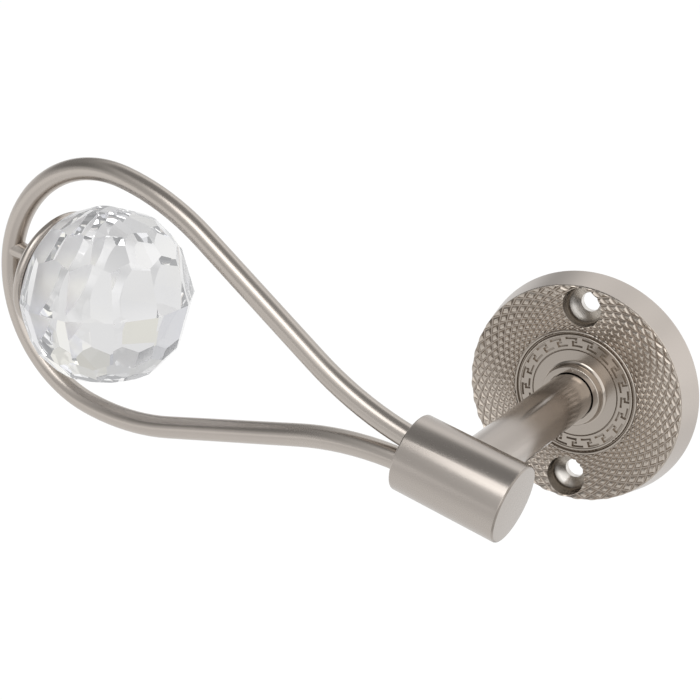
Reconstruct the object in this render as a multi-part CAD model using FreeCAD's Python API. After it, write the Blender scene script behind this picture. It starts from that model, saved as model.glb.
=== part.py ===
import FreeCAD, Part
import math
import os

# Curtain holdback: a round wall plate, a stem standing out of it, and a barrel across the stem's end.
# A rod bent to a teardrop comes out of the barrel and carries a cut crystal ball in a cup.
# Millimetres. The wall is the plane y = 0, the room is towards -Y, and +Z is up.
# The origin is the middle of the wall plate's back.

# Wall plate: cast disc with a draft on its side and a knurled ring dished up towards the rim
plate_back_d = 54.5
plate_face_d = 51.6
plate_thickness = 6.1
plate_dish = 1.3
plate_edge_round = 0.3
knurl_bed_depth = 0.35

# Screw holes of the plate, one above the other
screw_hole_d = 4.5
screw_hole_spacing = 41.4
screw_recess_d = 9.3
screw_recess_depth = 1.6
screw_recess_round = 1.6
screw_cone_angle_deg = 45.0

# Turned lines and beads on the face, placed inwards from the screw holes
bead_to_recess = 1.35
bead_pitch = 1.0
key_to_bead = 1.52
line_to_key = 1.83
line_groove_width = 0.35
line_groove_depth = 0.4
bead_width = 0.55
bead_height = 0.28
bead_groove_width = 0.45
bead_groove_depth = 0.45

# Key fret round the face: hooked grooves between the line and the beads
key_count = 20
key_row_pitch = 0.85
key_stroke = 0.5
key_depth = 0.6
key_arm_share = 0.38
key_hook_share = 0.34
key_first_deg = 5.3

# Collar round the stem
collar_height = 2.7
collar_base_d = 15.4
collar_rim_d = 14.1
collar_bore_d = 11.5
collar_foot_round = 1.2
collar_rim_round = 0.25

# Stem and the screw that draws it into the plate
stem_d = 11.0
stem_fit = 0.05
stem_seat_thickness = 3.4
stem_socket_depth = 2.0
stem_end_chamfer = 0.3
stem_screw_d = 5.0
stem_screw_head_d = 9.2
stem_screw_length = 13.0
stem_screw_clearance = 0.2
stem_screw_recess = 0.2
stem_screw_slot_width = 1.0
stem_screw_slot_depth = 1.4
tapped_hole_spare = 2.0
spigot_d = 6.0
spigot_length = 7.0
spigot_spare = 0.5

# Barrel across the end of the stem
reach = 61.5
barrel_d = 16.7
barrel_length = 24.0
barrel_cap_round = 0.5
barrel_loop_round = 0.4
stem_seat_behind_axis = 3.6

# Teardrop of bent rod; the arm's length runs from the stem's middle to the loop's tip
arm_length = 124.1
arm_rise_deg = 12.2
rod_d = 5.0
head_radius = 28.4
shoulder_radius = 56.4
flare_radius = 74.5
leg_gap = 0.2
leg_straight = 3.0
leg_insertion = 7.6
leg_fit = 0.1

# Cut crystal ball, its cup and the cup's peg
crystal_d = 40.0
facets_per_row = 12
girdle_row_deg = 15.0
girdle_facet_depth = 1.5
crown_rows_deg = (42.0, 70.0)
crown_facet_depth = 0.5
pole_facet_depth = 0.2
cup_inner_radius = 18.4
cup_wall = 1.9
cup_half_angle_deg = 44.0
cup_fit = 0.05
seat_bevel_deg = 123.0
peg_d = 3.4
peg_insertion = 1.4
peg_fit = 0.05

# How far a cutting shape runs past the surface it cuts
cut_overrun = 1.0

# Derived sizes
face_y = -plate_thickness
bed_y = knurl_bed_depth - plate_thickness
plate_back_r = plate_back_d / 2
plate_face_r = plate_face_d / 2
bead_outer_d = screw_hole_spacing - screw_recess_d - 2 * bead_to_recess
bead_inner_d = bead_outer_d - 2 * bead_pitch
key_mid_d = bead_inner_d - 2 * key_to_bead
line_groove_d = key_mid_d - 2 * line_to_key
key_step_deg = 360.0 / key_count
stem_r = stem_d / 2
rod_r = rod_d / 2
head_distance = arm_length - head_radius - rod_r
barrel_r = barrel_d / 2
half_barrel = barrel_length / 2
leg_offset = rod_r + leg_gap / 2
crystal_r = crystal_d / 2
facet_step_deg = 360.0 / facets_per_row
cup_outer_radius = cup_inner_radius + cup_wall
cup_middle_radius = cup_inner_radius + cup_wall / 2
stem_seat_y = -stem_seat_thickness
barrel_seat_y = stem_seat_behind_axis - reach
rise = math.radians(arm_rise_deg)
along_arm = FreeCAD.Vector(-math.cos(rise), 0, math.sin(rise))
up_arm = FreeCAD.Vector(math.sin(rise), 0, math.cos(rise))
to_wall = FreeCAD.Vector(0, 1, 0)
origin = FreeCAD.Vector(0, 0, 0)
arm_frame = FreeCAD.Placement(
    FreeCAD.Vector(0, -reach, 0),
    FreeCAD.Rotation(along_arm, up_arm, to_wall, "XYZ"),
)


def point(x, y, z=0.0):
    return FreeCAD.Vector(x, y, z)


def line(start, end):
    return Part.LineSegment(point(*start), point(*end)).toShape()


def arc(start, middle, end):
    return Part.Arc(point(*start), point(*middle), point(*end)).toShape()


def polyline(points):
    return [line(a, b) for a, b in zip(points, points[1:])]


def turned(edges, axis):
    """Solid of revolution of a closed outline about an axis through the origin."""
    face = Part.Face(Part.Wire(edges))
    return face.revolve(origin, axis, 360)


def on_circle(centre, radius, degrees):
    angle = math.radians(degrees)
    return (centre[0] + radius * math.cos(angle), centre[1] + radius * math.sin(angle))


def rounded_corner(corner, radius, start_degrees, end_degrees):
    """Arc of a corner whose centre is given, from one direction to the other."""
    middle = (start_degrees + end_degrees) / 2
    return arc(
        on_circle(corner, radius, start_degrees),
        on_circle(corner, radius, middle),
        on_circle(corner, radius, end_degrees),
    )


def along_y(radius, start_y, end_y, x=0.0, z=0.0):
    low = min(start_y, end_y)
    return Part.makeCylinder(radius, abs(end_y - start_y), point(x, low, z), to_wall)


def groove_ring(diameter, width, depth):
    """Ring groove in the face with straight sides and a round bottom, as a solid to cut away."""
    radius = diameter / 2
    inner_r = radius - width / 2
    outer_r = radius + width / 2
    front_y = face_y - cut_overrun
    turn_y = face_y + depth - width / 2
    edges = polyline([(outer_r, turn_y), (outer_r, front_y), (inner_r, front_y), (inner_r, turn_y)])
    edges.append(arc((inner_r, turn_y), (radius, face_y + depth), (outer_r, turn_y)))
    return turned(edges, to_wall)


def bead_ring(diameter):
    """Raised half-round ring on the face, rooted below it."""
    radius = diameter / 2
    inner_r = radius - bead_width / 2
    outer_r = radius + bead_width / 2
    root_y = face_y + bead_groove_depth
    edges = polyline([(inner_r, face_y), (inner_r, root_y), (outer_r, root_y), (outer_r, face_y)])
    edges.append(arc((outer_r, face_y), (radius, face_y - bead_height), (inner_r, face_y)))
    return turned(edges, to_wall)


def plate_disc():
    """Disc with drafted side and rounded front edge; the knurl's sunk bed climbs towards the rim."""
    bead_edge_r = bead_outer_d / 2 + bead_width / 2
    rim_y = bed_y - plate_dish
    side_front = (plate_face_r, rim_y + plate_edge_round)
    round_centre = (plate_face_r - plate_edge_round, rim_y + plate_edge_round)
    edges = polyline([(0, bed_y), (0, 0), (plate_back_r, 0), side_front])
    edges.append(rounded_corner(round_centre, plate_edge_round, 0, -90))
    edges += polyline([(round_centre[0], rim_y), (bead_edge_r, bed_y), (0, bed_y)])
    disc = turned(edges, to_wall)
    boss = along_y(bead_edge_r, 0, face_y)
    return disc.fuse(boss)


def collar():
    """Turned collar: hollow foot, straight wall and a rounded rim."""
    base_r = collar_base_d / 2
    rim_r = collar_rim_d / 2
    top_y = face_y - collar_height
    foot_centre = (rim_r + collar_foot_round, face_y - collar_foot_round)
    foot_reach = math.sqrt(collar_foot_round ** 2 - (foot_centre[0] - base_r) ** 2)
    foot_start = (base_r, foot_centre[1] + foot_reach)
    start_degrees = math.degrees(math.atan2(foot_reach, base_r - foot_centre[0]))
    rim_centre = (rim_r - collar_rim_round, top_y + collar_rim_round)
    edges = polyline([(0, top_y), (0, stem_seat_y), (base_r, stem_seat_y), foot_start])
    edges.append(rounded_corner(foot_centre, collar_foot_round, start_degrees, 180))
    edges.append(line((rim_r, foot_centre[1]), (rim_r, rim_centre[1])))
    edges.append(rounded_corner(rim_centre, collar_rim_round, 0, -90))
    edges.append(line((rim_centre[0], top_y), (0, top_y)))
    return turned(edges, to_wall)


def screw_recess(z):
    """Screw hole of the plate: a straight recess, a rounded turn into a cone, and the hole itself."""
    hole_r = screw_hole_d / 2
    recess_r = screw_recess_d / 2
    turn_y = face_y + screw_recess_depth
    turn_centre = (recess_r - screw_recess_round, turn_y)
    cone_start = on_circle(turn_centre, screw_recess_round, screw_cone_angle_deg)
    slope = math.tan(math.radians(screw_cone_angle_deg))
    cone_end_y = cone_start[1] + (cone_start[0] - hole_r) / slope
    front_y = face_y - plate_dish - cut_overrun
    back_y = cut_overrun
    edges = polyline([(0, front_y), (recess_r, front_y), (recess_r, turn_y)])
    edges.append(rounded_corner(turn_centre, screw_recess_round, 0, screw_cone_angle_deg))
    edges += polyline([cone_start, (hole_r, cone_end_y), (hole_r, back_y), (0, back_y), (0, front_y)])
    recess = turned(edges, to_wall)
    recess.translate(point(0, 0, z))
    return recess


def key_hook_groove(turn_degrees):
    """One S-shaped hook of the key fret, as a solid to cut into the face."""
    half = key_stroke / 2
    mid_r = key_mid_d / 2
    top_r = mid_r + key_row_pitch
    low_r = mid_r - key_row_pitch
    stroke = math.degrees(key_stroke / mid_r)
    right = key_hook_share * key_step_deg / 2
    far = right + key_arm_share * key_step_deg

    def spot(radius, degrees):
        x, z = on_circle((0, 0), radius, degrees + turn_degrees)
        return point(x, face_y - bead_height, z)

    def sweep(radius, start, end):
        middle = spot(radius, (start + end) / 2)
        return Part.Arc(spot(radius, start), middle, spot(radius, end)).toShape()

    def drop(degrees, start, end):
        return Part.LineSegment(spot(start, degrees), spot(end, degrees)).toShape()

    edges = [
        sweep(top_r + half, -right, far),
        drop(far, top_r + half, top_r - half),
        sweep(top_r - half, far, stroke - right),
        drop(stroke - right, top_r - half, mid_r + half),
        sweep(mid_r + half, stroke - right, right),
        drop(right, mid_r + half, low_r - half),
        sweep(low_r - half, right, -far),
        drop(-far, low_r - half, low_r + half),
        sweep(low_r + half, -far, right - stroke),
        drop(right - stroke, low_r + half, mid_r - half),
        sweep(mid_r - half, right - stroke, -right),
        drop(-right, mid_r - half, top_r + half),
    ]
    return Part.Face(Part.Wire(edges)).extrude(to_wall * (bead_height + key_depth))


def stem_screw_seat():
    """Clearance hole and countersink of the screw that holds the stem, from the plate's back."""
    hole_r = stem_screw_d / 2 + stem_screw_clearance
    head_r = stem_screw_head_d / 2
    mouth_y = cut_overrun
    mouth_r = head_r + stem_screw_recess + mouth_y
    neck_y = -stem_screw_recess - (head_r - hole_r)
    end_y = stem_seat_y - cut_overrun
    edges = polyline([(0, mouth_y), (mouth_r, mouth_y), (hole_r, neck_y), (hole_r, end_y)])
    edges += polyline([(hole_r, end_y), (0, end_y), (0, mouth_y)])
    return turned(edges, to_wall)


def make_wall_plate():
    plate = plate_disc().fuse([collar(), bead_ring(bead_inner_d), bead_ring(bead_outer_d)])
    front_y = face_y - collar_height - cut_overrun
    groove_d = (bead_inner_d + bead_outer_d) / 2
    cuts = [
        along_y(collar_bore_d / 2, front_y, stem_seat_y - stem_socket_depth),
        along_y(stem_r + stem_fit, front_y, stem_seat_y),
        stem_screw_seat(),
        screw_recess(screw_hole_spacing / 2),
        screw_recess(-screw_hole_spacing / 2),
        groove_ring(line_groove_d, line_groove_width, line_groove_depth),
        groove_ring(groove_d, bead_groove_width, bead_groove_depth),
    ]
    for tool in cuts:
        plate = plate.cut(tool)
    hooks = [key_hook_groove(key_first_deg + key_step_deg * index) for index in range(key_count)]
    return plate.cut(Part.makeCompound(hooks)).removeSplitter()


def make_stem():
    """Round bar: tapped at the plate end, with a spigot that screws into the barrel."""
    spigot_r = spigot_d / 2
    tip_y = barrel_seat_y - spigot_length
    tap_r = stem_screw_d / 2
    tap_y = stem_screw_tip_y() - tapped_hole_spare
    chamfer = stem_end_chamfer
    edges = polyline([
        (tap_r, stem_seat_y),
        (stem_r - chamfer, stem_seat_y),
        (stem_r, stem_seat_y - chamfer),
        (stem_r, barrel_seat_y),
        (spigot_r, barrel_seat_y),
        (spigot_r, tip_y + chamfer),
        (spigot_r - chamfer, tip_y),
        (0, tip_y),
        (0, tap_y),
        (tap_r, tap_y),
        (tap_r, stem_seat_y),
    ])
    return turned(edges, to_wall)


def stem_screw_tip_y():
    return -stem_screw_recess - stem_screw_length


def make_stem_screw():
    """Countersunk machine screw with a cross slot, its head sunk in the plate's back."""
    shank_r = stem_screw_d / 2
    head_r = stem_screw_head_d / 2
    head_y = -stem_screw_recess
    neck_y = head_y - (head_r - shank_r)
    tip_y = stem_screw_tip_y()
    chamfer = stem_end_chamfer
    edges = polyline([
        (0, head_y),
        (head_r, head_y),
        (shank_r, neck_y),
        (shank_r, tip_y + chamfer),
        (shank_r - chamfer, tip_y),
        (0, tip_y),
        (0, head_y),
    ])
    screw = turned(edges, to_wall)
    long = stem_screw_d
    width = stem_screw_slot_width
    low_y = head_y - stem_screw_slot_depth
    upright = Part.makeBox(width, stem_screw_slot_depth, long, point(-width / 2, low_y, -long / 2))
    across = Part.makeBox(long, stem_screw_slot_depth, width, point(-long / 2, low_y, -width / 2))
    return screw.cut(upright.fuse(across))


def leg_path():
    """Arc centres, splay and inner end of one leg, as distances along the arm and out from it."""
    shoulder = (head_distance, head_radius - shoulder_radius)
    flare = (half_barrel - leg_insertion + leg_straight, leg_offset + flare_radius)
    run = (shoulder[0] - flare[0], shoulder[1] - flare[1])
    radii = shoulder_radius + flare_radius
    splay = math.degrees(math.atan2(run[1], run[0]) + math.asin(radii / math.hypot(*run)))
    inner_end = (half_barrel - leg_insertion, leg_offset)
    return shoulder, flare, splay, inner_end


def loop_wire():
    """Centre line of the teardrop: leg, flare, straight, shoulder, head and back again."""
    shoulder, flare, splay, inner_end = leg_path()
    flare_start = (flare[0], leg_offset)
    flare_middle = on_circle(flare, flare_radius, splay / 2 - 90)
    flare_end = on_circle(flare, flare_radius, splay - 90)
    shoulder_start = on_circle(shoulder, shoulder_radius, 90 + splay)
    shoulder_middle = on_circle(shoulder, shoulder_radius, 90 + splay / 2)
    head_start = (head_distance, head_radius)
    tip = (head_distance + head_radius, 0)

    def side(sign):
        def turn(spot):
            return (spot[0], sign * spot[1])

        return [
            line(turn(inner_end), turn(flare_start)),
            arc(turn(flare_start), turn(flare_middle), turn(flare_end)),
            line(turn(flare_end), turn(shoulder_start)),
            arc(turn(shoulder_start), turn(shoulder_middle), turn(head_start)),
        ]

    head = arc(head_start, tip, (head_distance, -head_radius))
    lower = side(-1)
    lower.reverse()
    return Part.Wire(side(1) + [head] + lower), inner_end


def make_wire_loop():
    path, inner_end = loop_wire()
    start = point(*inner_end)
    section = Part.Wire(Part.makeCircle(rod_r, start, point(1, 0, 0)))
    rod = path.makePipeShell([section], True, False)
    hole_start = point(peg_end() - rod_d, 0, 0)
    peg_hole = Part.makeCylinder(peg_d / 2 + peg_fit, rod_d, hole_start, point(1, 0, 0))
    loop = rod.cut(peg_hole)
    loop.Placement = arm_frame
    return loop


def peg_end():
    return head_distance + head_radius - rod_r + peg_insertion


def make_barrel():
    """Round bar across the stem: socket and spigot hole behind, slot for the loop's legs in one end."""
    cap = barrel_cap_round
    soft = barrel_loop_round
    edges = polyline([(-half_barrel, 0), (-half_barrel, barrel_r - cap)])
    edges.append(rounded_corner((cap - half_barrel, barrel_r - cap), cap, 180, 90))
    edges.append(line((cap - half_barrel, barrel_r), (half_barrel - soft, barrel_r)))
    edges.append(rounded_corner((half_barrel - soft, barrel_r - soft), soft, 90, 0))
    edges += polyline([(half_barrel, barrel_r - soft), (half_barrel, 0), (-half_barrel, 0)])
    barrel = turned(edges, point(1, 0, 0))
    behind = point(0, 0, 1)
    seat = stem_seat_behind_axis
    socket = Part.makeCylinder(stem_r + stem_fit, barrel_r, point(0, 0, seat), behind)
    spigot_bottom = seat - spigot_length - spigot_spare
    hole_r = spigot_d / 2 + stem_fit
    spigot_hole = Part.makeCylinder(hole_r, barrel_r, point(0, 0, spigot_bottom), behind)
    barrel = barrel.cut(socket.fuse(spigot_hole)).cut(leg_slot())
    barrel.Placement = arm_frame
    return barrel


def leg_slot():
    """Slot with round ends that takes both legs side by side where they leave the barrel."""
    flare = leg_path()[1]
    face_run = half_barrel - flare[0]
    spread = flare[1] - math.sqrt(flare_radius ** 2 - face_run ** 2)
    slot_r = rod_r + leg_fit
    bottom = half_barrel - leg_insertion
    depth = leg_insertion + rod_d
    outward = point(1, 0, 0)
    upper = Part.makeCylinder(slot_r, depth, point(bottom, spread, 0), outward)
    lower = Part.makeCylinder(slot_r, depth, point(bottom, -spread, 0), outward)
    between = Part.makeBox(depth, 2 * spread, 2 * slot_r, point(bottom, -spread, -slot_r))
    return upper.fuse([lower, between])


def cap_outline(inner, outer, degrees, rim):
    """Section of a spherical cap between two radii, closed at its mouth by the given edge."""
    return [
        arc((inner, 0), on_circle((0, 0), inner, degrees / 2), on_circle((0, 0), inner, degrees)),
        rim,
        arc(on_circle((0, 0), outer, degrees), on_circle((0, 0), outer, degrees / 2), (outer, 0)),
        line((outer, 0), (inner, 0)),
    ]


def rim_turn_deg():
    """Angle that the rounded rim takes up past the dish's half angle."""
    return math.degrees(cup_wall / 2 / cup_middle_radius)


def place_at_head(shape):
    """Move a shape made about the ball's middle to its place on the arm."""
    shape.translate(point(head_distance, 0, 0))
    shape.Placement = arm_frame.multiply(shape.Placement)
    return shape


def make_ball_cup():
    """Dish behind the ball with a rounded rim, and the peg that stands in the loop's tip."""
    along = point(1, 0, 0)
    rim = arc(
        on_circle((0, 0), cup_inner_radius, cup_half_angle_deg),
        on_circle((0, 0), cup_middle_radius, cup_half_angle_deg + rim_turn_deg()),
        on_circle((0, 0), cup_outer_radius, cup_half_angle_deg),
    )
    dish = turned(cap_outline(cup_inner_radius, cup_outer_radius, cup_half_angle_deg, rim), along)
    peg_length = peg_end() - head_distance - cup_middle_radius
    peg = Part.makeCylinder(peg_d / 2, peg_length, point(cup_middle_radius, 0, 0), along)
    return place_at_head(dish.fuse(peg))


def facet_row(latitude, first_deg, distance):
    """Directions and distances of one row of facets and its mirror row below the girdle."""
    level = math.radians(latitude)
    facets = []
    for index in range(facets_per_row):
        turn = math.radians(first_deg + facet_step_deg * index)
        x = math.cos(level) * math.cos(turn)
        y = math.cos(level) * math.sin(turn)
        facets.append((point(x, y, math.sin(level)), distance))
        facets.append((point(x, y, -math.sin(level)), distance))
    return facets


def ball_facets():
    """Two girdle rows, staggered crown rows above and below them, and a flat at each pole."""
    half_step = facet_step_deg / 2
    facets = facet_row(girdle_row_deg, 0.0, crystal_r - girdle_facet_depth)
    for row, latitude in enumerate(crown_rows_deg):
        first_deg = half_step * ((row + 1) % 2)
        facets += facet_row(latitude, first_deg, crystal_r - crown_facet_depth)
    pole_distance = crystal_r - pole_facet_depth
    facets.append((point(0, 0, 1), pole_distance))
    facets.append((point(0, 0, -1), pole_distance))
    return facets


def make_crystal_ball():
    """Ball ground flat facet by facet, with a round seat ground for the cup."""
    ball = Part.makeSphere(crystal_d)
    size = 2 * crystal_d
    for direction, distance in ball_facets():
        waste = Part.makeBox(size, size, size, point(-crystal_d, -crystal_d, distance))
        waste.Placement = FreeCAD.Placement(origin, FreeCAD.Rotation(point(0, 0, 1), direction))
        ball = ball.cut(waste)
    ball.translate(arm_frame.multVec(point(head_distance, 0, 0)))
    return ball.cut(cup_seat())


def cup_seat():
    """What is ground off the ball: a round seat for the cup and a bevel that clears the cup's rim."""
    inner = cup_inner_radius - cup_fit
    angle = cup_half_angle_deg + rim_turn_deg() + math.degrees(cup_fit / cup_inner_radius)
    lip = on_circle((0, 0), inner, angle)
    clear = on_circle(lip, crystal_d, seat_bevel_deg)
    edges = [arc((inner, 0), on_circle((0, 0), inner, angle / 2), lip)]
    edges += polyline([lip, clear, (crystal_d, clear[1]), (crystal_d, 0), (inner, 0)])
    return place_at_head(turned(edges, point(1, 0, 0)))


def export(node, shape):
    shape.exportStep("parts/" + node + ".step")


os.makedirs("parts", exist_ok=True)
export("wall_plate", make_wall_plate())
export("stem", make_stem())
export("stem_screw", make_stem_screw())
export("barrel", make_barrel())
export("wire_loop", make_wire_loop())
export("ball_cup", make_ball_cup())
export("crystal_ball", make_crystal_ball())
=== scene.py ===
"""Curtain holdback in satin nickel.

Knurled wall plate, stem, cross barrel, teardrop loop of bent rod and a cut crystal ball.
"""

import math

import bpy
import mathutils
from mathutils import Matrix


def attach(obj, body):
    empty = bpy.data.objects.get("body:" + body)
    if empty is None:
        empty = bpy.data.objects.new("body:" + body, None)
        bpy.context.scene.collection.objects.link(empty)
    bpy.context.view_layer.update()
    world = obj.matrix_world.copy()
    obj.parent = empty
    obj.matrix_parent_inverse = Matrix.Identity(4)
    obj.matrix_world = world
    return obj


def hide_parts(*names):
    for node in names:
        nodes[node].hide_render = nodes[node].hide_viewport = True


MM = 0.001

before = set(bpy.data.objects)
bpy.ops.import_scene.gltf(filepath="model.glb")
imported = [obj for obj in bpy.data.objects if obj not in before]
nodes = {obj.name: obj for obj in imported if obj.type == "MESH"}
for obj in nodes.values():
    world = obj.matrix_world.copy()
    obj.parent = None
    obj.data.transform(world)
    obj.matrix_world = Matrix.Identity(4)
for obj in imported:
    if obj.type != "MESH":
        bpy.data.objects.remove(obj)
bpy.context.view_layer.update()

# Wall plate. The knurl's bed is level with the plain face at the beads and climbs to the rim.
plate_face = -6.1 * MM
plate_dish = 1.3 * MM
collar_foot_radius = 7.7 * MM
rim_edge_radius = 25.8 * MM
rim_edge_depth = -6.75 * MM
screw_hole_height = 20.7 * MM
screw_recess_radius = 4.65 * MM

# Knurl: raised diamonds between two sets of spiral grooves. Its cells are laid out unrolled, with
# the turn about the plate's axis across and the logarithm of the radius upwards.
knurl_inner_radius = 15.12 * MM
knurl_outer_radius = 25.66 * MM
knurl_foot = 0.45 * MM
knurl_cutter_depth = 6 * MM
knurl_merge_distance = 2e-6
cells_around = 40
cells_upright = 78
cell_rows = 17
cell_half_width = math.pi / cells_around
cell_half_height = math.pi / cells_upright
first_row_radius = 13.92 * MM
first_cell_turn = math.radians(6.05)
middle_radius = 20.0 * MM
groove_half_width = 0.10 * MM
groove_depth = 0.27 * MM
diamond_side_run = 0.28 * MM
diamond_side_height = 0.34 * MM
diamond_top_run = 0.16 * MM
diamond_top_height = 0.07 * MM

# Arm, and the ball with its round seat in the cup.
arm_rise = math.radians(12.2)
arm_run = 93.2 * MM
arm_depth = -61.5 * MM
seat_radius = 18.35 * MM
seat_slack = 0.05 * MM
barrel_radius = 8.35 * MM
half_barrel = 12.0 * MM
along_arm = mathutils.Vector((-math.cos(arm_rise), 0, math.sin(arm_rise)))
ball_middle = mathutils.Vector(
    (-arm_run * math.cos(arm_rise), arm_depth, arm_run * math.sin(arm_rise))
)

# Bead of braze round the cup's peg, from the cup outwards to the loop's tip.
braze_start = 19.6 * MM
braze_step = 1.0 * MM
braze_radii = [mm * MM for mm in (2.9, 2.65, 2.3, 2.1, 2.0, 2.0, 2.1, 2.25, 2.34)]
peg_clearance_radius = 1.78 * MM
peg_bore_length = 20 * MM
peg_bore_middle = braze_start + 4 * MM

# Meshes: sides of round cutters, merging, and the angle below which faces are smoothed together.
cutter_sides = 192
braze_sides = 48
merge_distance = 1e-7
plate_smoothing = 40
turned_smoothing = 35
knurl_smoothing = 25
facet_smoothing = 8

# Tones of each metal: the bright and the deep end of its soft clouds.
nickel_tones = ((0.50, 0.455, 0.415), (0.45, 0.41, 0.375))
plate_tones = ((0.475, 0.425, 0.375), (0.425, 0.38, 0.335))
knurl_tones = ((0.53, 0.475, 0.418), (0.465, 0.415, 0.363))
rod_tones = ((0.535, 0.487, 0.443), (0.48, 0.437, 0.398))
zinc_tones = ((0.60, 0.60, 0.62), (0.50, 0.50, 0.52))
silver_tones = ((0.93, 0.93, 0.94), (0.88, 0.88, 0.90))
cloud_share = 0.6
grain_share = 0.4
grain_height = 0.02 * MM

# Zones of the plate's finish, each with its tone or polish; the tones of the sunk lines and of the
# screw recesses are painted shade and painted highlight.
groove_zone_inner = 7.8 * MM
groove_zone_outer = 14.9 * MM
groove_zone_depths = (plate_face + 0.1 * MM, plate_face + 0.4 * MM)
# Painted shade: the sunk floors of the turned lines and key fret are darkened where shade falls in
# them.
groove_painted_shade_tone = (0.32, 0.28, 0.24, 1)
front_zone_back = plate_face + 3.0 * MM
collar_polish = 0.10
recess_zone_radius = screw_recess_radius + 0.05 * MM
recess_zone_back = -0.1 * MM
recess_wall_radii = (screw_recess_radius - 0.95 * MM, screw_recess_radius - 0.2 * MM)
# Painted light in the screw recesses: a painted highlight on the bottom and painted shade on the
# wall.
recess_bottom_painted_highlight_tone = (0.74, 0.71, 0.67, 1)
recess_wall_painted_shade_tone = (0.14, 0.115, 0.09, 1)
recess_polish = 0.27
side_zone_radius = 25.75 * MM
side_tone = (0.505, 0.458, 0.418, 1)
side_polish = 0.28

# Painted shade in the grooves of the knurl, and a thin painted shade line round the rim of the
# barrel's plain end, broken up by noise.
knurl_shade_heights = (0.01 * MM, 0.12 * MM)
# Painted shade in the knurl's grooves.
knurl_groove_painted_shade_tone = (0.40, 0.35, 0.305, 1)
cap_rim = 0.36 * MM
cap_rim_painted_shade_tone = (0.20, 0.175, 0.15, 1)
cap_rim_shade_breakup = (0.40, 0.58, 1.0, 0.25)

# Crystal, with a faint painted glow that lifts its dark facets.
crystal_bending = 1.53
crystal_cool = (0.965, 0.965, 1.0, 1)
crystal_warm = (1.0, 0.99, 0.95, 1)
crystal_polish = (0.3, 0.7, 0.0, 0.03)
crystal_painted_glow = 0.055
crystal_painted_glow_tone = (0.97, 0.98, 1.0, 1)

# Studio, by direction. Four numbers are two steps along an axis or a noise, then the levels there.
ceiling_fade = (0.73, 0.93, 1.0, 0.24)
room_right_rise = (-0.15, 0.2, 0.66, 1.5)
wall_right_rise = (0.45, 0.7, 0.90, 1.22)
wall_heights = (0.5, 0.74)
wall_top_level = 1.24
room_depths = (-0.6, 0.15)
left_shade = (-0.75, -0.3, 1.0, 0.0)
left_shade_rise = (0.12, 0.4, 0.0, 0.7)
glass_panels = (0.35, 0.65, 0.72, 1.04)
glass_contrast = 0.42
glass_base = 0.36
glass_tint_spread = (0.38, 0.62, 0.0, 1.0)
glass_cool = (0.90, 0.915, 1.0, 1)
glass_warm = (1.0, 0.985, 0.89, 1)
white = (1, 1, 1, 1)
soft_box_size = (0.5, 0.42)
soft_box_strength = 5.4
soft_box_place = (0.052, -0.605, 0.715)
soft_box_turn = (math.radians(41), 0, math.radians(8))

# Floor, by place in metres, in the same way.
floor_size = 6
floor_place = (0, 0, -0.11)
floor_tone = (0.88, 0.88, 0.88, 1)
floor_roughness = 0.9
floor_front_fade = (-0.32, -0.18, 1.1, 0.78)
floor_back_rise = (0.12, 0.28, 1.0, 1.2)
floor_depths = (-0.36, -0.12)
floor_patches = (0.38, 0.62, -0.2, 0.2)
floor_patch_fade = (0.2, 0.55, 1.0, 0.0)
floor_glass_level = 0.62
floor_eye_level = 1.08
floor_glow_share = 0.85

# Camera.
camera_sensor = 36
camera_lens = 74.617
camera_near = 0.01
camera_place = (0.114976, -0.296542, 0.123490)
camera_turn = (math.radians(69.5124), math.radians(-1.9501), math.radians(31.8419))


def pick_only(piece):
    bpy.ops.object.select_all(action="DESELECT")
    piece.select_set(True)
    bpy.context.view_layer.objects.active = piece


def edit(piece):
    pick_only(piece)
    bpy.ops.object.mode_set(mode="EDIT")
    bpy.ops.mesh.select_mode(type="VERT")


def leave_edit():
    bpy.ops.object.mode_set(mode="OBJECT")


def set_in_place():
    """Works a new object's place and turn into its mesh."""
    bpy.ops.object.transform_apply(location=True, rotation=True, scale=True)


def finish_with(piece, finish):
    piece.data.materials.clear()
    piece.data.materials.append(finish)


def dressed_copy(node_name, piece_name, smooth_degrees):
    """Merged, smooth-shaded copy of a solid, ready to take its finish."""
    piece = bpy.data.objects.new(piece_name, nodes[node_name].data.copy())
    piece.data.name = piece_name
    bpy.context.scene.collection.objects.link(piece)
    edit(piece)
    bpy.ops.mesh.select_all(action="SELECT")
    bpy.ops.mesh.remove_doubles(threshold=merge_distance)
    leave_edit()
    bpy.ops.mesh.customdata_custom_splitnormals_clear()
    bpy.ops.object.shade_smooth_by_angle(angle=math.radians(smooth_degrees))
    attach(piece, "root")
    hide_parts(node_name)
    return piece


def mark_sharp_ring(piece, ring_radius, ring_depth, slack=0.01 * MM):
    """Keeps a turned edge crisp where a shallow curve runs into a flat."""
    edit(piece)
    bpy.ops.mesh.select_mode(type="EDGE")
    bpy.ops.mesh.select_all(action="DESELECT")
    leave_edit()
    on_ring = [
        abs(math.hypot(corner.co.x, corner.co.z) - ring_radius) < slack
        and abs(corner.co.y - ring_depth) < slack
        for corner in piece.data.vertices
    ]
    for rim in piece.data.edges:
        rim.select = on_ring[rim.vertices[0]] and on_ring[rim.vertices[1]]
    bpy.ops.object.mode_set(mode="EDIT")
    bpy.ops.mesh.mark_sharp()
    leave_edit()


def add_disc_tool(name, radius, height=0):
    """Round cutter with its axis square to the wall, at a height on the plate's face."""
    bpy.ops.object.select_all(action="DESELECT")
    bpy.ops.mesh.primitive_cylinder_add(
        vertices=cutter_sides, radius=radius, depth=knurl_cutter_depth,
        location=(0, plate_face, height), rotation=(math.pi / 2, 0, 0),
    )
    tool = bpy.context.object
    tool.name = name
    set_in_place()
    return tool


def cut_with(piece, tool, operation):
    cutter = piece.modifiers.new("cut", "BOOLEAN")
    cutter.operation = operation
    cutter.solver = "MANIFOLD"
    cutter.object = tool
    pick_only(piece)
    bpy.ops.object.modifier_apply(modifier=cutter.name)
    bpy.data.objects.remove(tool)


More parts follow.
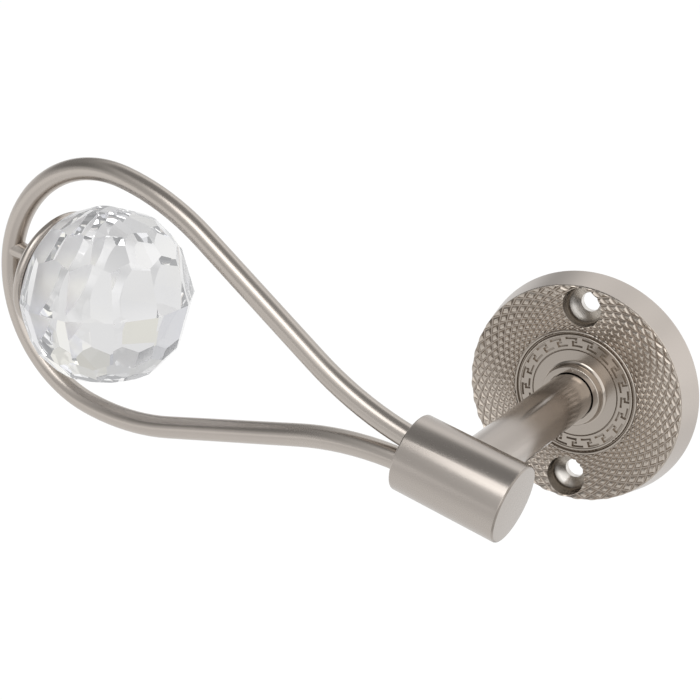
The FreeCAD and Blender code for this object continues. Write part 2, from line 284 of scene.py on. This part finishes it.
def start_flat(name, sides, radius):
    """New flat polygon, left open for editing with its face picked."""
    bpy.ops.object.select_all(action="DESELECT")
    bpy.ops.mesh.primitive_circle_add(vertices=sides, radius=radius, fill_type="NGON")
    piece = bpy.context.object
    piece.name = name
    bpy.ops.object.mode_set(mode="EDIT")
    bpy.ops.mesh.select_mode(type="FACE")
    bpy.ops.mesh.select_all(action="SELECT")
    return piece


def model_diamond():
    """One diamond of the knurl, unrolled: half a groove all round, sloping sides, a bowed top."""
    diamond = start_flat("knurl_net", sides=4, radius=1)
    bpy.ops.transform.resize(value=(cell_half_width, cell_half_height, 1))
    bpy.ops.mesh.inset(thickness=groove_half_width / middle_radius)
    for run, height in (
        (diamond_side_run, diamond_side_height),
        (diamond_top_run, diamond_top_height),
    ):
        bpy.ops.mesh.inset(thickness=run / middle_radius, depth=height / middle_radius)
    leave_edit()
    return diamond


def repeat(piece, step, count):
    run = piece.modifiers.new("repeat", "ARRAY")
    run.use_relative_offset = False
    run.use_constant_offset = True
    run.constant_offset_displace = step
    run.count = count
    pick_only(piece)
    bpy.ops.object.modifier_apply(modifier=run.name)


def roll_up(net):
    """Rolls the flat rows of diamonds up into a ring on the plate's dished bed."""
    knurl_width = knurl_outer_radius - knurl_inner_radius
    for corner in net.data.vertices:
        turn, climb, height = corner.co
        turn += first_cell_turn
        radius = first_row_radius * math.exp(climb)
        dish = plate_dish * (radius - knurl_inner_radius) / knurl_width
        corner.co = (
            radius * math.cos(turn),
            plate_face + groove_depth - dish - height * middle_radius,
            -radius * math.sin(turn),
        )


def close_back(net):
    """Joins the ring's ends, and closes it behind with a foot that stands in the bed."""
    edit(net)
    bpy.ops.mesh.select_all(action="SELECT")
    bpy.ops.mesh.remove_doubles(threshold=knurl_merge_distance)
    bpy.ops.mesh.select_all(action="DESELECT")
    bpy.ops.mesh.select_mode(type="EDGE")
    bpy.ops.mesh.select_non_manifold(
        use_wire=False, use_boundary=True, use_multi_face=False,
        use_non_contiguous=False, use_verts=False,
    )
    bpy.ops.mesh.extrude_region_move(TRANSFORM_OT_translate={"value": (0, knurl_foot, 0)})
    bpy.ops.mesh.bridge_edge_loops()
    bpy.ops.mesh.select_all(action="SELECT")
    bpy.ops.mesh.normals_make_consistent(inside=False)
    leave_edit()


def make_knurl():
    """Ring of raised diamonds, trimmed to the plate's bed and its screw holes."""
    net = model_diamond()
    repeat(net, (2 * cell_half_width, 0, 0), cells_around)
    repeat(net, (cell_half_width, cell_half_height, 0), cell_rows)
    roll_up(net)
    close_back(net)
    cut_with(net, add_disc_tool("knurl_rim", knurl_outer_radius), "INTERSECT")
    cut_with(net, add_disc_tool("knurl_bore", knurl_inner_radius), "DIFFERENCE")
    for height in (screw_hole_height, -screw_hole_height):
        hole = add_disc_tool("screw_hole", screw_recess_radius, height)
        cut_with(net, hole, "DIFFERENCE")
    pick_only(net)
    bpy.ops.object.shade_smooth_by_angle(angle=math.radians(knurl_smoothing))
    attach(net, "root")
    return net


def spare_copy(piece):
    copy = piece.copy()
    copy.data = piece.data.copy()
    bpy.context.scene.collection.objects.link(copy)
    return copy


def model_braze(loop, cup):
    """Waisted bead of braze round the cup's peg, trimmed where it meets the loop and the cup."""
    outward = (0, arm_rise - math.pi / 2, 0)
    bead = start_flat("peg_braze", braze_sides, braze_radii[0])
    for radius, next_radius in zip(braze_radii, braze_radii[1:]):
        bpy.ops.mesh.extrude_region_move(TRANSFORM_OT_translate={"value": (0, 0, braze_step)})
        bpy.ops.transform.resize(value=(next_radius / radius, next_radius / radius, 1))
    bpy.ops.mesh.select_all(action="SELECT")
    bpy.ops.mesh.normals_make_consistent(inside=False)
    leave_edit()
    bead.rotation_euler = outward
    bead.location = ball_middle + braze_start * along_arm
    set_in_place()
    bpy.ops.object.select_all(action="DESELECT")
    bpy.ops.mesh.primitive_cylinder_add(
        vertices=braze_sides, radius=peg_clearance_radius, depth=peg_bore_length,
        location=ball_middle + peg_bore_middle * along_arm, rotation=outward,
    )
    bore = bpy.context.object
    set_in_place()
    for tool in (bore, spare_copy(loop), spare_copy(cup)):
        cut_with(bead, tool, "DIFFERENCE")
    pick_only(bead)
    bpy.ops.object.shade_smooth_by_angle(angle=math.radians(turned_smoothing))
    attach(bead, "root")
    return bead


def silver_seat(ball, silvering):
    """Silvers the round seat that lies hidden in the cup."""
    ball.data.materials.append(silvering)
    edit(ball)
    bpy.ops.mesh.select_mode(type="FACE")
    bpy.ops.mesh.select_all(action="DESELECT")
    leave_edit()
    corners = ball.data.vertices
    for face in ball.data.polygons:
        reach = max((corners[corner].co - ball_middle).length for corner in face.vertices)
        face.select = reach < seat_radius + seat_slack
    bpy.ops.object.mode_set(mode="EDIT")
    ball.active_material_index = 1
    bpy.ops.object.material_slot_assign()
    leave_edit()


def add_node(tree, kind, **settings):
    node = tree.nodes.new(kind)
    for name, value in settings.items():
        setattr(node, name, value)
    return node


def feed(tree, node, values):
    """Sets a node's inputs, by name or number, to plain values or to other nodes' outputs."""
    for name, value in values.items():
        if isinstance(value, bpy.types.NodeSocket):
            tree.links.new(value, node.inputs[name])
        else:
            node.inputs[name].default_value = value


def fed_by(node, name):
    """The output that an input is linked to so far."""
    return node.inputs[name].links[0].from_socket


def add_place(tree, kind="Object"):
    return add_node(tree, "ShaderNodeTexCoord").outputs[kind]


def split_axes(tree, place):
    axes = add_node(tree, "ShaderNodeSeparateXYZ")
    feed(tree, axes, {"Vector": place})
    return axes.outputs["X"], axes.outputs["Y"], axes.outputs["Z"]


def add_noise(tree, place, scale, detail):
    noise = add_node(tree, "ShaderNodeTexNoise")
    feed(tree, noise, {"Vector": place, "Scale": scale, "Detail": detail})
    return noise.outputs["Fac"]


def add_range(tree, value, low, high, to_low, to_high, smooth=False):
    """Carries a value from one range over to another, and holds it at the ends."""
    spread = add_node(tree, "ShaderNodeMapRange")
    spread.interpolation_type = "SMOOTHSTEP" if smooth else "LINEAR"
    feed(tree, spread, {
        "Value": value, "From Min": low, "From Max": high, "To Min": to_low, "To Max": to_high,
    })
    return spread.outputs["Result"]


def add_math(tree, operation, *values):
    step = add_node(tree, "ShaderNodeMath", operation=operation)
    feed(tree, step, dict(enumerate(values)))
    return step.outputs["Value"]


def all_of(tree, mask, *others):
    """Mask that is full only where every one of these masks is."""
    for other in others:
        mask = add_math(tree, "MULTIPLY", mask, other)
    return mask


def add_distance(tree, first, second):
    """Distance from an axis, from the two offsets square to it."""
    squares = [
        add_math(tree, "POWER", add_math(tree, "ABSOLUTE", offset), 2)
        for offset in (first, second)
    ]
    return add_math(tree, "SQRT", add_math(tree, "ADD", *squares))


def choose(tree, which, off, on, kind="FLOAT"):
    """A value that is one thing where the mask is 0 and another where it is 1."""
    mixer = add_node(tree, "ShaderNodeMix", data_type=kind)
    feed(tree, mixer, {"Factor": which, "A": off, "B": on})
    return mixer.outputs["Result"]


def choose_tone(tree, which, off, on):
    return choose(tree, which, off, on, kind="RGBA")


def start_finish(name):
    finish = bpy.data.materials.new(name)
    finish.use_nodes = True
    return finish, finish.node_tree, finish.node_tree.nodes["Principled BSDF"]


def make_plating_group():
    """Nickel plate: soft clouds of tone, fine grain in the polish, and a grain height."""
    group = bpy.data.node_groups.new("nickel_plating", "ShaderNodeTree")
    for name, way, kind in (
        ("Vector", "INPUT", "NodeSocketVector"),
        ("Bright Tone", "INPUT", "NodeSocketColor"),
        ("Deep Tone", "INPUT", "NodeSocketColor"),
        ("Polish", "INPUT", "NodeSocketFloat"),
        ("Polish Spread", "INPUT", "NodeSocketFloat"),
        ("Color", "OUTPUT", "NodeSocketColor"),
        ("Roughness", "OUTPUT", "NodeSocketFloat"),
        ("Height", "OUTPUT", "NodeSocketFloat"),
    ):
        group.interface.new_socket(name, in_out=way, socket_type=kind)
    entry = add_node(group, "NodeGroupInput").outputs
    leave = add_node(group, "NodeGroupOutput")

    cloud = add_noise(group, entry["Vector"], scale=90, detail=3)
    grain = add_noise(group, entry["Vector"], scale=5200, detail=2)
    blend = add_math(
        group, "ADD",
        add_math(group, "MULTIPLY", cloud, cloud_share),
        add_math(group, "MULTIPLY", grain, grain_share),
    )
    swing = add_math(group, "SUBTRACT", blend, 0.5)
    swing = add_math(group, "MULTIPLY", swing, entry["Polish Spread"])
    feed(group, leave, {
        "Color": choose_tone(group, blend, entry["Deep Tone"], entry["Bright Tone"]),
        "Roughness": add_math(group, "ADD", swing, entry["Polish"]),
        "Height": grain,
    })
    return group


def make_metal(name, plating, tones, polish, spread, grain, stretch=(1, 1, 1), turn=(0, 0, 0)):
    """A plated finish; stretch draws the grain out along the way the piece was brushed."""
    finish, tree, surface = start_finish(name)
    brushing = add_node(tree, "ShaderNodeMapping")
    feed(tree, brushing, {"Vector": add_place(tree), "Scale": stretch, "Rotation": turn})
    plate = add_node(tree, "ShaderNodeGroup", node_tree=plating)
    bright, deep = tones
    feed(tree, plate, {
        "Vector": brushing.outputs["Vector"],
        "Bright Tone": (*bright, 1),
        "Deep Tone": (*deep, 1),
        "Polish": polish,
        "Polish Spread": spread,
    })
    bump = add_node(tree, "ShaderNodeBump")
    feed(tree, bump, {
        "Strength": grain, "Distance": grain_height, "Height": plate.outputs["Height"],
    })
    feed(tree, surface, {
        "Metallic": 1.0,
        "Base Color": plate.outputs["Color"],
        "Roughness": plate.outputs["Roughness"],
        "Normal": bump.outputs["Normal"],
    })
    return finish


def dress_face(finish):
    """Plate: painted shade in the turned lines and key fret, polished collar, screw recesses with
    painted shade on their walls and a painted highlight on their bottoms, and a plain side.
    """
    tree = finish.node_tree
    surface = tree.nodes["Principled BSDF"]
    x, y, z = split_axes(tree, add_place(tree))
    out = add_distance(tree, x, z)
    off_hole = add_math(tree, "SUBTRACT", add_math(tree, "ABSOLUTE", z), screw_hole_height)
    from_hole = add_distance(tree, x, off_hole)

    front = add_math(tree, "LESS_THAN", y, front_zone_back)
    inside = add_math(tree, "LESS_THAN", out, groove_zone_outer)
    outside = add_math(tree, "GREATER_THAN", out, groove_zone_inner)
    sunk = add_range(tree, y, *groove_zone_depths, 0.0, 1.0)
    groove = all_of(tree, inside, outside, front, sunk)
    collar = all_of(tree, add_math(tree, "LESS_THAN", out, groove_zone_inner), front)
    near_hole = add_math(tree, "LESS_THAN", from_hole, recess_zone_radius)
    recess = all_of(tree, near_hole, add_math(tree, "LESS_THAN", y, recess_zone_back))
    recess_wall = add_range(tree, from_hole, *recess_wall_radii, 0.0, 1.0)
    side = add_math(tree, "GREATER_THAN", out, side_zone_radius)

    polish = choose(tree, collar, fed_by(surface, "Roughness"), collar_polish)
    polish = choose(tree, recess, polish, recess_polish)
    # Painted highlight on the recess bottoms, painted shade on their walls.
    recess_painted_light_tone = choose_tone(tree, recess_wall, recess_bottom_painted_highlight_tone, recess_wall_painted_shade_tone)
    # Painted shade darkens the sunk turned lines and key fret.
    tone = choose_tone(tree, groove, fed_by(surface, "Base Color"), groove_painted_shade_tone)
    tone = choose_tone(tree, recess, tone, recess_painted_light_tone)
    feed(tree, surface, {
        "Roughness": choose(tree, side, polish, side_polish),
        "Base Color": choose_tone(tree, side, tone, side_tone),
    })


def paint_knurl_groove_shade(finish):
    """Paints shade into the grooves between the knurl's diamonds, leaving them darker than their
    tops.
    """
    tree = finish.node_tree
    surface = tree.nodes["Principled BSDF"]
    x, y, z = split_axes(tree, add_place(tree))
    slope = plate_dish / (knurl_outer_radius - knurl_inner_radius)
    from_bead = add_math(tree, "SUBTRACT", add_distance(tree, x, z), knurl_inner_radius)
    climb = add_math(tree, "MULTIPLY", from_bead, slope)
    level = add_math(tree, "SUBTRACT", plate_face + groove_depth, climb)
    height = add_math(tree, "SUBTRACT", level, y)
    top = add_range(tree, height, *knurl_shade_heights, 0.0, 1.0)
    # Painted shade in the knurl's grooves, fading out towards the diamonds' tops.
    tone = choose_tone(tree, top, knurl_groove_painted_shade_tone, fed_by(surface, "Base Color"))
    feed(tree, surface, {"Base Color": tone})


def paint_cap_rim_shade(finish):
    """Paints a thin dark shade line round the rim of the barrel's plain end, broken up by noise.
    """
    tree = finish.node_tree
    surface = tree.nodes["Principled BSDF"]
    place = add_place(tree)
    on_arm = add_node(tree, "ShaderNodeMapping", vector_type="TEXTURE")
    feed(tree, on_arm, {
        "Vector": place, "Location": (0, arm_depth, 0), "Rotation": (0, arm_rise, 0),
    })
    along, depth, height = split_axes(tree, on_arm.outputs["Vector"])
    out = add_distance(tree, depth, height)
    outer = add_math(tree, "GREATER_THAN", out, barrel_radius - cap_rim)
    end = add_math(tree, "GREATER_THAN", along, half_barrel - cap_rim)
    broken_up = add_range(tree, add_noise(tree, place, scale=160, detail=1), *cap_rim_shade_breakup)
    rim = all_of(tree, outer, end, broken_up)
    # Painted shade on the barrel's cap rim.
    tone = choose_tone(tree, rim, fed_by(surface, "Base Color"), cap_rim_painted_shade_tone)
    feed(tree, surface, {"Base Color": tone})


def make_crystal():
    """Clear cut crystal with the faintest drift of tint and of polish, and a faint painted glow
    that lifts its dark facets.
    """
    finish, tree, surface = start_finish("cut_crystal")
    drift = add_noise(tree, add_place(tree), scale=55, detail=2)
    feed(tree, surface, {
        "Transmission Weight": 1.0,
        "IOR": crystal_bending,
        # Painted glow: the glass gives off a little light of its own.
        "Emission Color": crystal_painted_glow_tone,
        "Emission Strength": crystal_painted_glow,
        "Base Color": choose_tone(tree, drift, crystal_cool, crystal_warm),
        "Roughness": add_range(tree, drift, *crystal_polish),
    })
    return finish


def light_room():
    """White studio: pale all round, a darker ceiling, a dimmer room side, seen dimmer in glass."""
    world = bpy.data.worlds.new("studio")
    bpy.context.scene.world = world
    world.use_nodes = True
    tree = world.node_tree
    way = add_place(tree, "Generated")
    x, y, z = split_axes(tree, way)
    ray = add_node(tree, "ShaderNodeLightPath").outputs
    in_glass = ray["Is Transmission Ray"]

    room_level = add_range(tree, x, *room_right_rise, smooth=True)
    wall_foot_level = add_range(tree, x, *wall_right_rise, smooth=True)
    wall_level = add_range(
        tree, z, *wall_heights, wall_foot_level, wall_top_level, smooth=True
    )
    around = add_range(tree, y, *room_depths, room_level, wall_level, smooth=True)
    ceiling = add_range(tree, z, *ceiling_fade, smooth=True)
    shade = all_of(
        tree,
        add_range(tree, x, *left_shade, smooth=True),
        add_range(tree, z, *left_shade_rise, smooth=True),
    )
    level = all_of(tree, ceiling, around, add_math(tree, "SUBTRACT", 1.0, shade))

    panel = add_range(tree, add_noise(tree, way, scale=4.0, detail=1), *glass_panels)
    glass_level = add_math(tree, "MULTIPLY", level, glass_contrast)
    glass_level = add_math(tree, "ADD", glass_level, glass_base)
    glass_level = add_math(tree, "MULTIPLY", glass_level, panel)
    level = choose(tree, in_glass, level, glass_level)
    warmth = add_range(tree, add_noise(tree, way, scale=3.1, detail=1), *glass_tint_spread)
    glass_tint = choose_tone(tree, warmth, glass_cool, glass_warm)
    feed(tree, tree.nodes["Background"], {
        "Strength": add_math(tree, "MAXIMUM", level, ray["Is Camera Ray"]),
        "Color": choose_tone(tree, in_glass, white, glass_tint),
    })


def hang_soft_box():
    lamp = bpy.data.lights.new("soft_box", "AREA")
    lamp.shape = "RECTANGLE"
    lamp.size, lamp.size_y = soft_box_size
    lamp.energy = soft_box_strength * lamp.size * lamp.size_y
    soft_box = bpy.data.objects.new("soft_box", lamp)
    bpy.context.scene.collection.objects.link(soft_box)
    soft_box.location = soft_box_place
    soft_box.rotation_euler = soft_box_turn
    soft_box.visible_camera = False


def lay_floor():
    """Pale floor: white to the eye, graded in mirrors and in glass, and still takes a shadow."""
    bpy.ops.object.select_all(action="DESELECT")
    bpy.ops.mesh.primitive_plane_add(size=floor_size, location=floor_place)
    floor = bpy.context.object
    floor.name = "floor"
    finish, tree, surface = start_finish("pale_floor")
    feed(tree, surface, {
        "Roughness": floor_roughness, "Base Color": floor_tone, "Specular IOR Level": 0.0,
    })
    place = add_place(tree)
    x, y, _ = split_axes(tree, place)
    ray = add_node(tree, "ShaderNodeLightPath").outputs

    front_level = add_range(tree, x, *floor_front_fade, smooth=True)
    back_level = add_range(tree, x, *floor_back_rise, smooth=True)
    mirror_level = add_range(tree, y, *floor_depths, front_level, back_level, smooth=True)
    patch = add_range(tree, add_noise(tree, place, scale=9, detail=1), *floor_patches)
    far = add_node(tree, "ShaderNodeVectorMath", operation="LENGTH")
    feed(tree, far, {0: place})
    fade = add_range(tree, far.outputs["Value"], *floor_patch_fade, smooth=True)
    glass_level = add_math(tree, "MULTIPLY", patch, fade)
    glass_level = add_math(tree, "ADD", glass_level, floor_glass_level)
    level = choose(tree, ray["Is Transmission Ray"], mirror_level, glass_level)
    level = choose(tree, ray["Is Camera Ray"], level, floor_eye_level)
    glow = add_node(tree, "ShaderNodeEmission")
    feed(tree, glow, {"Strength": level})

    seen = add_math(tree, "MAXIMUM", ray["Is Camera Ray"], ray["Is Glossy Ray"])
    seen = add_math(tree, "MAXIMUM", seen, ray["Is Transmission Ray"])
    mixer = add_node(tree, "ShaderNodeMixShader")
    feed(tree, mixer, {
        "Fac": add_math(tree, "MULTIPLY", seen, floor_glow_share),
        1: surface.outputs["BSDF"],
        2: glow.outputs["Emission"],
    })
    feed(tree, tree.nodes["Material Output"], {"Surface": mixer.outputs["Shader"]})
    floor.data.materials.append(finish)


def set_camera():
    lens = bpy.data.cameras.new("camera")
    lens.sensor_width = camera_sensor
    lens.lens = camera_lens
    lens.clip_start = camera_near
    camera = bpy.data.objects.new("camera", lens)
    bpy.context.scene.collection.objects.link(camera)
    camera.location = camera_place
    camera.rotation_euler = camera_turn
    bpy.context.scene.camera = camera


plating = make_plating_group()
satin_plate = make_metal(
    "satin_nickel_plate", plating, plate_tones, polish=0.17, spread=0.06, grain=0.06
)
dress_face(satin_plate)
satin_knurl = make_metal(
    "satin_nickel_knurl", plating, knurl_tones, polish=0.20, spread=0.10, grain=0.08
)
paint_knurl_groove_shade(satin_knurl)
satin_rod = make_metal(
    "satin_nickel_rod", plating, rod_tones, polish=0.265, spread=0.08, grain=0.08
)
satin_barrel = make_metal(
    "satin_nickel_barrel", plating, nickel_tones, polish=0.27, spread=0.10, grain=0.14,
    stretch=(0.06, 1, 1), turn=(0, -arm_rise, 0),
)
paint_cap_rim_shade(satin_barrel)
bright_stem = make_metal(
    "bright_nickel_stem", plating, nickel_tones, polish=0.175, spread=0.03, grain=0.02,
    stretch=(1, 0.03, 1),
)
screw_steel = make_metal(
    "zinc_screw", plating, zinc_tones, polish=0.30, spread=0.12, grain=0.2
)
crystal = make_crystal()
silvering = make_metal(
    "silvered_seat", plating, silver_tones, polish=0.30, spread=0.10, grain=0.05
)

plate = dressed_copy("wall_plate", "plate_body", plate_smoothing)
mark_sharp_ring(plate, collar_foot_radius, plate_face)
mark_sharp_ring(plate, rim_edge_radius, rim_edge_depth)
finish_with(plate, satin_plate)
knurl = make_knurl()
finish_with(knurl, satin_knurl)
stem = dressed_copy("stem", "stem_rod", turned_smoothing)
finish_with(stem, bright_stem)
screw = dressed_copy("stem_screw", "stem_screw_head", turned_smoothing)
finish_with(screw, screw_steel)
barrel = dressed_copy("barrel", "cross_barrel", turned_smoothing)
finish_with(barrel, satin_barrel)
loop = dressed_copy("wire_loop", "rod_loop", turned_smoothing)
finish_with(loop, satin_rod)
cup = dressed_copy("ball_cup", "cup_shell", turned_smoothing)
finish_with(cup, satin_rod)
braze = model_braze(loop, cup)
finish_with(braze, satin_rod)
ball = dressed_copy("crystal_ball", "cut_ball", facet_smoothing)
finish_with(ball, crystal)
silver_seat(ball, silvering)

light_room()
hang_soft_box()
lay_floor()
set_camera()
bpy.context.scene.view_settings.view_transform = "Standard"
